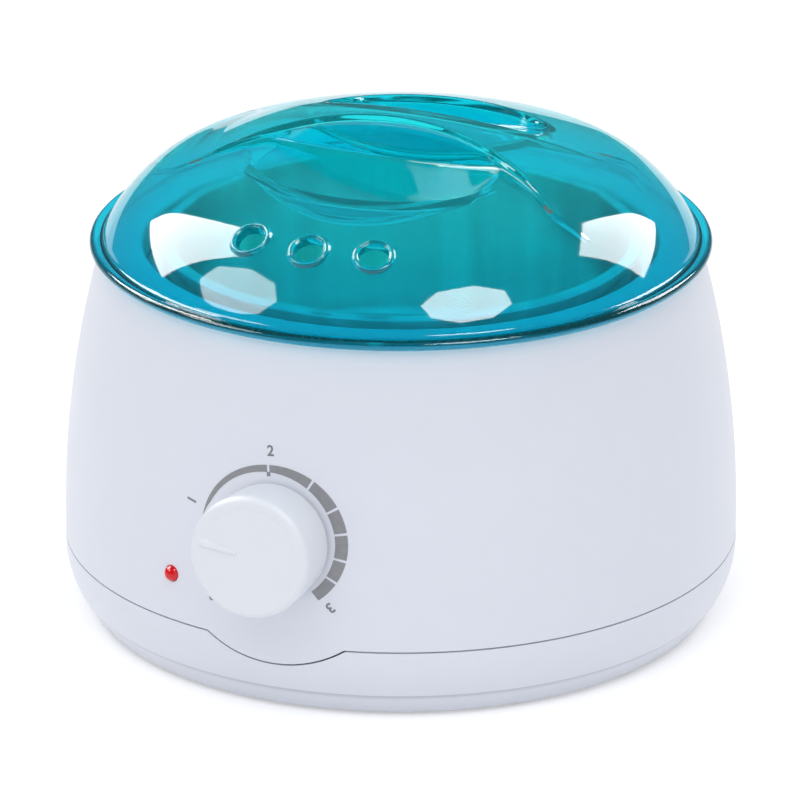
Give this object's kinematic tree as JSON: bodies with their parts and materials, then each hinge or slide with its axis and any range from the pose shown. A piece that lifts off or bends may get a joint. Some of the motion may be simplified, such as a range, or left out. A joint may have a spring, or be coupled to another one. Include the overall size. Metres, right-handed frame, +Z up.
{
  "type": "wax warmer",
  "caption": "Round mains wax warmer: white two-part housing, lift-out aluminium pot under a clear turquoise lid with a pinch handle, front turning knob and red pilot lamp.",
  "frame": {"origin": "on the pot's vertical axis, in the plane that the warmer stands on (underside of the rubber foot ring)", "axes": "+Z up; -Y towards the front, where the knob is; +X to the right as seen from the front"},
  "size_m": [0.2036, 0.2236, 0.1556],
  "materials": {
    "white_shell": "glossy moulded",
    "white_knob": "glossy moulded",
    "clear_lid": "clear tinted, polished",
    "pot_metal": "drawn sheet, satin",
    "cup_metal": "drawn sheet, matt",
    "shield_metal": "rolled sheet, bright",
    "screw_steel": "zinc plated",
    "spring_steel": "bright spring strip",
    "spindle_steel": "turned",
    "nut_brass": "plated",
    "foot_rubber": "matt",
    "gasket_rubber": "matt silicone",
    "bush_rubber": "matt",
    "heater_mica": "matt layered",
    "felt": "needled fibre",
    "stat_black": "matt phenolic",
    "bulb_copper": "drawn copper tube",
    "fuse_white": "glazed sleeve",
    "lamp_red": "clear tinted, polished",
    "holder_black": "matt",
    "board_green": "solder masked",
    "resistor_tan": "lacquered",
    "block_ivory": "matt",
    "clamp_black": "matt",
    "wire_red": "silicone sleeve"
  },
  "bodies": {
    "warmer": {"upper_housing": "white_shell", "lower_housing": "white_shell", "foot_ring": "foot_rubber", "base_screws": "screw_steel", "heating_well": "cup_metal", "well_gasket": "gasket_rubber", "well_screws": "screw_steel", "heater_band": "heater_mica", "clamp_strap": "spring_steel", "strap_screw": "screw_steel", "insulation_sleeve": "felt", "heat_shield": "shield_metal", "shield_screws": "screw_steel", "thermostat": "stat_black", "thermostat_nut": "nut_brass", "sensor_bulb": "bulb_copper", "sensor_clips": "spring_steel", "thermal_fuse": "fuse_white", "pilot_lamp": "lamp_red", "lamp_holder": "holder_black", "lamp_board": "board_green", "lamp_resistor": "resistor_tan", "terminal_block": "block_ivory", "cord_inlet": "bush_rubber", "cord_clamp": "clamp_black", "clamp_screws": "screw_steel", "lead_wires": "wire_red"},
    "pot": {"inner_pot": "pot_metal"},
    "lid": {"lid": "clear_lid"},
    "control": {"knob": "white_knob", "spindle": "spindle_steel", "knob_clip": "spring_steel"}
  },
  "joints": [
    {"name": "pot_lift", "type": "slide", "parent": "warmer", "child": "pot", "axis": [0, 0, 1], "range_m": [0, 0.09]},
    {"name": "lid_lift", "type": "slide", "parent": "pot", "child": "lid", "axis": [0, 0, 1], "range_m": [0, 0.08]},
    {"name": "knob_turn", "type": "hinge", "parent": "warmer", "child": "control", "pos_m": [0, -0.10068, 0.0558], "axis": [0, 0.9964, -0.0844], "range_deg": [-58, 220]}
  ]
}
